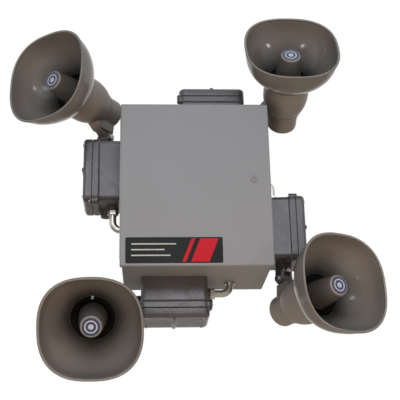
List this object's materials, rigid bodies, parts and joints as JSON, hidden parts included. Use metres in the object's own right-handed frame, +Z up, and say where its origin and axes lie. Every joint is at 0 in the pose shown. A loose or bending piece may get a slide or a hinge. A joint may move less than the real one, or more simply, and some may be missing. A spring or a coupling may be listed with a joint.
{
  "type": "wall-mounted electronic warning siren",
  "caption": "Grey steel wall cabinet with a hinged door, carrying on each side an amplified horn loudspeaker on a pan and tilt swivel, set as a pinwheel.",
  "frame": {"origin": "centre of the cabinet's back face, on the wall", "axes": "+Y into the wall, the door faces -Y, +Z up"},
  "size_m": [0.8921, 0.3286, 0.9095],
  "materials": {
    "cabinet_paint": "satin grey enamel",
    "door_paint": "satin grey enamel",
    "casting_paint": "semi-gloss grey powder coat",
    "horn_paint": "gloss warm grey paint",
    "gasket_rubber": "matt sponge rubber",
    "bright_steel": "zinc-plated",
    "conduit_metal": "semi-gloss grey"
  },
  "bodies": {
    "cabinet": {"cabinet_back": "cabinet_paint", "cabinet_left_side": "cabinet_paint", "cabinet_right_side": "cabinet_paint", "cabinet_top": "cabinet_paint", "cabinet_bottom": "cabinet_paint", "hinge_cabinet_leaf": "bright_steel", "hinge_pin": "bright_steel", "conduit_elbows": "conduit_metal", "top_amplifier_base": "casting_paint", "right_amplifier_base": "casting_paint", "bottom_amplifier_base": "casting_paint", "left_amplifier_base": "casting_paint", "top_amplifier_cover": "casting_paint", "right_amplifier_cover": "casting_paint", "bottom_amplifier_cover": "casting_paint", "left_amplifier_cover": "casting_paint", "top_swivel_post": "casting_paint", "right_swivel_post": "casting_paint", "bottom_swivel_post": "casting_paint", "left_swivel_post": "casting_paint"},
    "door": {"door_panel": "door_paint", "door_gasket": "gasket_rubber", "hinge_door_leaf": "bright_steel"},
    "latch": {"door_latch": "bright_steel"},
    "top_swivel": {"top_swivel_fork": "casting_paint", "top_swivel_bolt": "bright_steel"},
    "top_horn": {"top_horn_body": "horn_paint", "top_horn_bell": "horn_paint", "top_horn_plug": "horn_paint"},
    "right_swivel": {"right_swivel_fork": "casting_paint", "right_swivel_bolt": "bright_steel"},
    "right_horn": {"right_horn_body": "horn_paint", "right_horn_bell": "horn_paint", "right_horn_plug": "horn_paint"},
    "bottom_swivel": {"bottom_swivel_fork": "casting_paint", "bottom_swivel_bolt": "bright_steel"},
    "bottom_horn": {"bottom_horn_body": "horn_paint", "bottom_horn_bell": "horn_paint", "bottom_horn_plug": "horn_paint"},
    "left_swivel": {"left_swivel_fork": "casting_paint", "left_swivel_bolt": "bright_steel"},
    "left_horn": {"left_horn_body": "horn_paint", "left_horn_bell": "horn_paint", "left_horn_plug": "horn_paint"}
  },
  "joints": [
    {"name": "door_hinge", "type": "hinge", "parent": "cabinet", "child": "door", "pos_m": [-0.177, -0.225, 0], "axis": [0, 0, -1], "range_deg": [0, 110]},
    {"name": "latch_turn", "type": "hinge", "parent": "door", "child": "latch", "pos_m": [0.138, -0.24, 0.008], "axis": [0, -1, 0], "range_deg": [0, 90]},
    {"name": "top_pan", "type": "hinge", "parent": "cabinet", "child": "top_swivel", "pos_m": [0.1735, -0.06, 0.249], "axis": [-1, 0, 0], "range_deg": [-4.7, 37.3]},
    {"name": "top_tilt", "type": "hinge", "parent": "top_swivel", "child": "top_horn", "pos_m": [0.1638, -0.06, 0.249], "axis": [0, 0.3859, 0.9225], "range_deg": [-15, 15]},
    {"name": "right_pan", "type": "hinge", "parent": "cabinet", "child": "right_swivel", "pos_m": [0.2235, -0.06, -0.199], "axis": [0, 0, 1], "range_deg": [-8.7, 33.3]},
    {"name": "right_tilt", "type": "hinge", "parent": "right_swivel", "child": "right_horn", "pos_m": [0.2235, -0.06, -0.1893], "axis": [0.8934, 0.4493, 0], "range_deg": [-12, 18]},
    {"name": "bottom_pan", "type": "hinge", "parent": "cabinet", "child": "bottom_swivel", "pos_m": [-0.1735, -0.06, -0.249], "axis": [1, 0, 0], "range_deg": [-9, 33]},
    {"name": "bottom_tilt", "type": "hinge", "parent": "bottom_swivel", "child": "bottom_horn", "pos_m": [-0.1638, -0.06, -0.249], "axis": [0, 0.454, -0.891], "range_deg": [-14.6, 15.4]},
    {"name": "left_pan", "type": "hinge", "parent": "cabinet", "child": "left_swivel", "pos_m": [-0.2235, -0.06, 0.199], "axis": [0, 0, -1], "range_deg": [-17.9, 24.1]},
    {"name": "left_tilt", "type": "hinge", "parent": "left_swivel", "child": "left_horn", "pos_m": [-0.2235, -0.06, 0.1893], "axis": [-0.81, 0.5864, 0], "range_deg": [-16.6, 13.4]}
  ]
}
